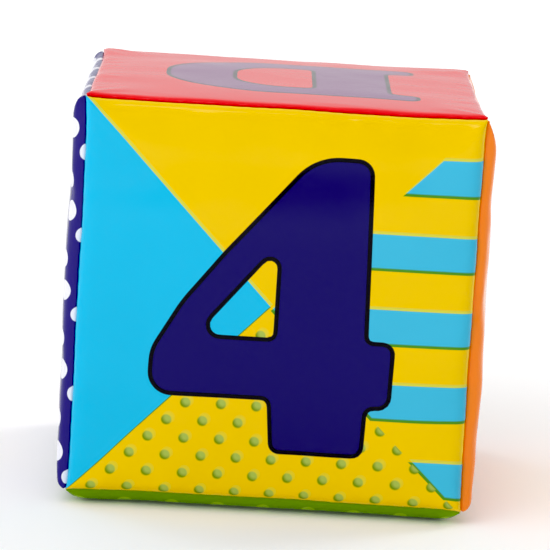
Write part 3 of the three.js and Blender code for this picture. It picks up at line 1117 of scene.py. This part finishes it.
FINE = (0.35, 0.75, 1.2, 1.75, 2.4, 3.1, 3.85)
DENTS = {"right": [(-34.5, 3.0, 6.5, 4.5, 0.45), (-33.0, -21.0, 5.0, 6.0, 0.2)], "left": [(35.0, 18.0, 4.5, 6.5, 0.25)], "front": [(20.0, 35.0, 14.0, 3.0, 0.12)]}
UNEVEN = {"front": (1.0, 1.0), "top": (0.55, 1.6), "right": (1.7, 1.5)}  # strength, and share of the corner creases
panels, built = {}, {}
for number, face in enumerate(FACES):
    p = Panel(face, lat, cover, 0.8, FINE, 0.78, fold, lift=None if face == "bottom" else panel_lift(11 + number, DENTS.get(face, ()), *UNEVEN.get(face, (1.4, 1.7))))
    if face == "bottom":
        p.top[..., 2] = np.minimum(p.top[..., 2], CENTRE_Z)
    built[face] = p
    pts, flat, quads, border = p.outer()
    n = point_normals(pts, quads)
    # the skin is drawn thinner inside the corners, where three of them meet
    from_corner = (SEAM / 2 - np.abs(flat)).max(-1)
    inner = pts - n * (SKIN * np.clip((from_corner - 0.9) / 3.0, 0.07, 1.0))[:, None]
    count = len(pts)
    rim = np.stack([border, border + count, np.roll(border, -1) + count, np.roll(border, -1)], -1)
    all_quads = np.concatenate([quads, quads[:, ::-1] + count, rim])
    inside_slot = (from_corner[quads].min(1) > 3.0).astype(int)
    slots = np.concatenate([np.zeros(len(quads), int), inside_slot, np.ones(len(rim), int)])
    uv_out = (flat + FLAT / 2) / FLAT * 0.9 + np.array([0.0, 0.1])
    uv_in = (flat + FLAT / 2) / FLAT * 0.095 + np.array([0.903, 0.0])
    attributes = {key: np.tile(draw(flat), 2) for key, draw in drawings[face].items()}
    mesh = new_mesh(face + "_cover", np.concatenate([pts, inner]), all_quads, slots, np.tile(flat, (2, 1)), np.concatenate([uv_out, uv_in]), attributes, face)
    ob = new_piece(face + "_cover", mesh, vinyl[face], plain_back)
    panels[face] = ob
    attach(ob, BODY)
    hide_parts(face + "_panel")
    "vinyl_" + face

foam_look, thread_look = foam_material(), thread_material()


def tube(path, radius, sides=8):
    """Points and faces of a closed tube along a path."""
    path = np.array(path)
    t = np.gradient(path, axis=0)
    t /= np.linalg.norm(t, axis=1, keepdims=True)
    side = np.cross(t[0], (0.3, 0.5, 0.81))
    frames = []
    for k in range(len(path)):
        side = side - t[k] * (side @ t[k])
        side = side / np.linalg.norm(side)
        frames.append((side, np.cross(t[k], side)))
    w = np.arange(sides) / sides * 2 * math.pi
    pts = [p + radius * (math.cos(a) * u + math.sin(a) * v) for p, (u, v) in zip(path, frames) for a in w]
    k, j = np.meshgrid(np.arange(len(path) - 1) * sides, np.arange(sides), indexing="ij")
    nxt = (j + 1) % sides
    quads = np.stack([k + j, k + nxt, k + sides + nxt, k + sides + j], -1).reshape(-1, 4)
    ends = [list(range(sides))[::-1], [(len(path) - 1) * sides + i for i in range(sides)]]
    return np.array(pts), quads.tolist() + ends


def smooth_path(points, steps=4):
    p = np.array(points, float)
    p = np.concatenate([2 * p[:1] - p[1:2], p, 2 * p[-1:] - p[-2:-1]])
    out = []
    for i in range(1, len(p) - 2):
        for k in range(steps):
            t = k / steps
            out.append(0.5 * (2 * p[i] + (p[i + 1] - p[i - 1]) * t + (2 * p[i - 1] - 5 * p[i] + 4 * p[i + 1] - p[i + 2]) * t**2 + (3 * p[i] - p[i - 1] - 3 * p[i + 1] + p[i + 2]) * t**3))
    out.append(p[-2])
    return np.array(out)


def closing_seam():
    """Slanted overcast stitches that close the last side, with a small knot at each end."""
    rows = {}
    for face in ("bottom", "back"):
        p = built[face]
        at, n = to_block(face, p.top[:, 1]), to_block(face, normals_of(p.top)[:, 1])
        order = np.argsort(at[:, 0])
        rows[face] = at[order], n[order]

    def on(face, x):
        at, n = rows[face]
        return [np.array([np.interp(x, at[:, 0], v[:, k]) for k in range(3)]) for v in (at, n)]

    rng = np.random.RandomState(31)
    points, knots = [], []
    places = np.linspace(-33.6, 33.6, 26)
    for k, x in enumerate(places):
        a, na = on("bottom", x + rng.uniform(-0.15, 0.15))
        b, nb = on("back", x + 0.75 + rng.uniform(-0.15, 0.15))
        middle = (a + b) / 2 + (na + nb) / 2 * 0.04
        points += [a - na * 0.75, a - na * 0.12, a + na * 0.13, middle, b + nb * 0.13, b - nb * 0.12, b - nb * 0.75]
        if k in (0, len(places) - 1):
            knots.append((a + na * 0.22, na) if k == 0 else (b + nb * 0.22, nb))
    shapes = [tube(smooth_path(points), 0.17)]
    w = np.linspace(0, 2 * math.pi, 49)
    for at, n in knots:
        u = np.cross(n, (1.0, 0.2, 0.1))
        u /= np.linalg.norm(u)
        v = np.cross(n, u)
        loop = np.stack([np.sin(w) + 2 * np.sin(2 * w), np.cos(w) - 2 * np.cos(2 * w), -np.sin(3 * w)], 1) * 0.16
        shapes.append(tube(at + loop @ np.stack([u, v, n]), 0.15, 7))
    sewn("closing_stitches", shapes, "closing_stitch")


def sewn(name, shapes, node):
    """One piece from the threads that a seam is sewn with."""
    pts, faces, start = [], [], 0
    for q, f in shapes:
        pts.append(q)
        faces += [[i + start for i in one] for one in f]
        start += len(q)
    mesh = bpy.data.meshes.new(name)
    mesh.from_pydata(((np.concatenate(pts) + np.array([0, 0, CENTRE_Z])) * MM).tolist(), [], faces)
    mesh.polygons.foreach_set("use_smooth", np.ones(len(faces), bool))
    mesh.update()
    mesh.validate()
    ob = new_piece(name, mesh, thread_look)
    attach(ob, BODY)
    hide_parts(node)


# a stitch of the upper and of the under thread: (along the seam, across it, deeper), from the hole; the two hook into each other between the strips
UPPER = np.array([(-0.75, 0.83, 0), (-0.32, 0.66, 0), (-0.24, 0.2, 0), (0, -0.12, 0), (0.24, 0.2, 0), (0.32, 0.66, 0), (0.75, 0.83, 0)])
UNDER = np.array([(-0.75, -0.83, 0), (-0.3, -0.66, -0.06), (-0.07, -0.2, -0.16), (0, 0.12, 0), (0.07, -0.2, 0.16), (0.3, -0.66, 0.06), (0.75, -0.83, 0)])


def way_out(face):
    ax, sg = FACES[face][:2]
    return np.eye(3)[ax] * sg


def lock_stitches(seam, begin):
    """Paths of the two threads along the seam of a panel with another, on the first panel's side and on the other's, from the end that is nearest to begin."""
    face, other = seam
    sides = []
    for name in seam:
        p = built[name]
        ring = to_block(name, p.rings[7])
        sides.append([ring[np.arange(k * p.m, (k + 1) * p.m + 1) % (4 * p.m)] for k in range(4)])
    a, b = min(((a, b) for a in sides[0] for b in sides[1]), key=lambda ab: np.linalg.norm(ab[0].mean(0) - ab[1].mean(0)))
    if np.linalg.norm(a[0] - b[0]) > np.linalg.norm(a[0] - b[-1]):
        b = b[::-1]
    middle = (a + b) / 2
    if np.linalg.norm(middle[0] - begin) > np.linalg.norm(middle[-1] - begin):
        middle = middle[::-1]
    along = middle[-1] - middle[0]
    along /= np.linalg.norm(along)
    across = (way_out(face) - way_out(other)) / 2**0.5
    deeper = -(way_out(face) + way_out(other)) / 2**0.5
    flat = built[face].d - SEAM / 2
    paths = []
    for shape in (UPPER, UNDER):
        points = []
        for hole in np.arange(-12, 13) * STITCH:
            for x, y, z in shape:
                at = np.array([np.interp(hole + x, flat, middle[:, k]) for k in range(3)])
                points.append(at + across * y + deeper * z)
        paths.append(np.array(points))
    return paths, middle[-1]


def machine_seams():
    """The machine-sewn seams: four upright ones, one all round the top, and one round three sides of the bottom."""
    names = {"top": ("top", ("left", "front", "right", "back"), "top_seam_thread"), "bottom": ("bottom", ("left", "front", "right"), "bottom_seam_thread")}
    for name, (face, others, node) in names.items():
        end = np.array([-40.0, 40.0, 40.0 if face == "top" else -40.0])
        upper, under = [], []
        for other in others:
            paths, end = lock_stitches((face, other), end)
            upper.append(paths[0])
            under.append(paths[1])
        sewn(name + "_seam_stitches", [tube(smooth_path(np.concatenate(q), 2), 0.11, 6) for q in (upper, under)], node)
    for one in ("front", "back"):
        for two in ("left", "right"):
            paths, _ = lock_stitches((one, two), np.array([0.0, 0.0, 40.0]))
            sewn("seam_stitches_%s_%s" % (one, two), [tube(smooth_path(q, 2), 0.11, 6) for q in paths], "seam_thread_%s_%s" % (one, two))


closing_seam()
machine_seams()



def met(pts, sides):
    """Moves the points of each two sides that share a seam to the middle between them, in order, and those of three sides at each corner."""
    group = np.arange(len(pts))
    for a in range(len(sides)):
        for b in range(a):
            one, two = sides[a], sides[b]
            if np.linalg.norm(pts[one].mean(0) - pts[two].mean(0)) < 3:
                if np.linalg.norm(pts[one[0]] - pts[two[0]]) > np.linalg.norm(pts[one[0]] - pts[two[-1]]):
                    two = two[::-1]
                for i, j in zip(one, two):
                    group[group == group[i]] = group[j]
    _, group, size = np.unique(group, return_inverse=True, return_counts=True)
    out = np.zeros((len(size), 3))
    np.add.at(out, group, pts)
    return (out / size[:, None])[group]


parts, sides, start = [], [], 0
for number, face in enumerate(FACES):
    sunk = bumps(70 + number, 6, 14, 34)
    p = Panel(face, lat, cover, 1.1, (0.9, 2.0, 3.4), 1.5, groove, lift=lambda f: -0.58 - 0.06 * (1 + sunk(f).clip(-1, 1)))
    pts, flat, quads, border = p.outer()
    parts.append((to_block(face, pts), quads + start, flat, face))
    sides += [start + border[np.arange(k * p.m, (k + 1) * p.m + 1) % (4 * p.m)] for k in range(4)]
    start += len(pts)
foam_pts = met(np.concatenate([q[0] for q in parts]), sides)
foam_quads = np.concatenate([q[1] for q in parts])
cells = [np.array([k % 3, k // 3]) / np.array([3.0, 2.0]) for k in range(6)]
foam_uv = np.concatenate([(q[2] + 48) / 96 * np.array([0.32, 0.48]) + cells[k] + 0.005 for k, q in enumerate(parts)])
foam_mesh = new_mesh("foam_block", foam_pts, foam_quads, uv=foam_uv)
bm = bmesh.new()
bm.from_mesh(foam_mesh)
bmesh.ops.remove_doubles(bm, verts=[v for v in bm.verts if any(e.is_boundary for e in v.link_edges)], dist=0.01 * MM)
bmesh.ops.recalc_face_normals(bm, faces=bm.faces)
bm.to_mesh(foam_mesh)
bm.free()
foam_block = new_piece("foam_block", foam_mesh, foam_look)
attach(foam_block, BODY)
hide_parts("foam_core")
